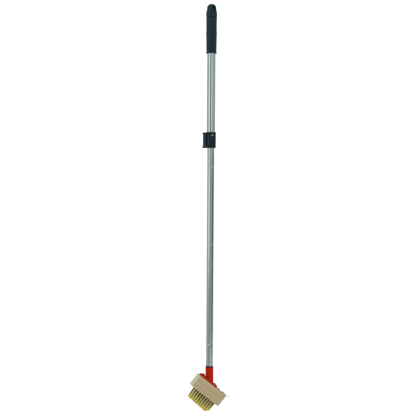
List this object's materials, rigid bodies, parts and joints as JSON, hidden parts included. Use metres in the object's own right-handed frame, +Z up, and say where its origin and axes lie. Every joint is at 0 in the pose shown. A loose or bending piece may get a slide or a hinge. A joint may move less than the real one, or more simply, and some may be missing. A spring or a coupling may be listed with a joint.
{
  "type": "telescopic wire weed brush",
  "caption": "Telescopic steel pole with a cam-lever clamp, a hanging cap and an inclined wooden block of brass wire tufts with a steel scraper tongue.",
  "frame": {"origin": "centre of the hanging hole in the cap, on the pole's axis", "axes": "+Z up along the pole's axis, +X in the head's plane towards the block's lower end and the scraper tongue, +Y through the block's back side"},
  "size_m": [0.1322, 0.0332, 1.2435],
  "materials": {
    "cap_plastic": "satin moulded black plastic",
    "grip_rubber": "soft black rubber-like sleeve",
    "clamp_plastic": "satin moulded black plastic",
    "tube_steel": "bright plated drawn steel tube",
    "fastener_steel": "zinc-plated steel",
    "nylon": "natural nylon",
    "socket_plastic": "semi-gloss red plastic",
    "block_wood": "unvarnished pale hardwood",
    "blade_steel": "cold-rolled steel strip",
    "wire_brass": "crimped brass-coated wire"
  },
  "bodies": {
    "handle": {"hang_cap": "cap_plastic", "grip_sleeve": "grip_rubber", "outer_tube": "tube_steel", "collar_body": "clamp_plastic", "lever_pin": "fastener_steel"},
    "slider": {"guide_bush": "nylon"},
    "lower_pole": {"inner_tube": "tube_steel", "middle_section": "tube_steel", "lower_section": "tube_steel", "threaded_ferrule": "clamp_plastic", "head_socket": "socket_plastic", "socket_screw_upper": "fastener_steel", "socket_screw_lower": "fastener_steel", "brush_block": "block_wood", "scraper_blade": "blade_steel", "scraper_screw_inner": "fastener_steel", "scraper_screw_outer": "fastener_steel", "tuft_r1_01": "wire_brass", "tuft_r1_02": "wire_brass", "tuft_r1_03": "wire_brass", "tuft_r1_04": "wire_brass", "tuft_r1_05": "wire_brass", "tuft_r1_06": "wire_brass", "tuft_r1_07": "wire_brass", "tuft_r1_08": "wire_brass", "tuft_r1_09": "wire_brass", "tuft_r1_10": "wire_brass", "tuft_r2_01": "wire_brass", "tuft_r2_02": "wire_brass", "tuft_r2_03": "wire_brass", "tuft_r2_04": "wire_brass", "tuft_r2_05": "wire_brass", "tuft_r2_06": "wire_brass", "tuft_r2_07": "wire_brass", "tuft_r2_08": "wire_brass", "tuft_r2_09": "wire_brass", "tuft_r2_10": "wire_brass", "tuft_r3_01": "wire_brass", "tuft_r3_02": "wire_brass", "tuft_r3_03": "wire_brass", "tuft_r3_04": "wire_brass", "tuft_r3_05": "wire_brass", "tuft_r3_06": "wire_brass", "tuft_r3_07": "wire_brass", "tuft_r3_08": "wire_brass", "tuft_r3_09": "wire_brass", "tuft_r3_10": "wire_brass"},
    "lever": {"cam_lever": "clamp_plastic"},
    "pad": {"pressure_pad": "nylon"}
  },
  "joints": [
    {"name": "telescope", "type": "slide", "parent": "handle", "child": "slider", "axis": [0, 0, -1], "range_m": [-0.05, 0.245]},
    {"name": "pole_twist", "type": "hinge", "parent": "slider", "child": "lower_pole", "pos_m": [0, 0, 0], "axis": [0, 0, 1], "continuous": true},
    {"name": "lever_swing", "type": "hinge", "parent": "handle", "child": "lever", "pos_m": [-0.0209, 0, -0.393], "axis": [0, 0, -1], "range_deg": [0, 110]},
    {"name": "pad_slide", "type": "slide", "parent": "handle", "child": "pad", "axis": [-1, 0, 0], "range_m": [0, 0.0006]}
  ],
  "couplings": [
    {"joint": "pad_slide", "follows": "lever_swing", "m_per_rad": 0.0003}
  ]
}
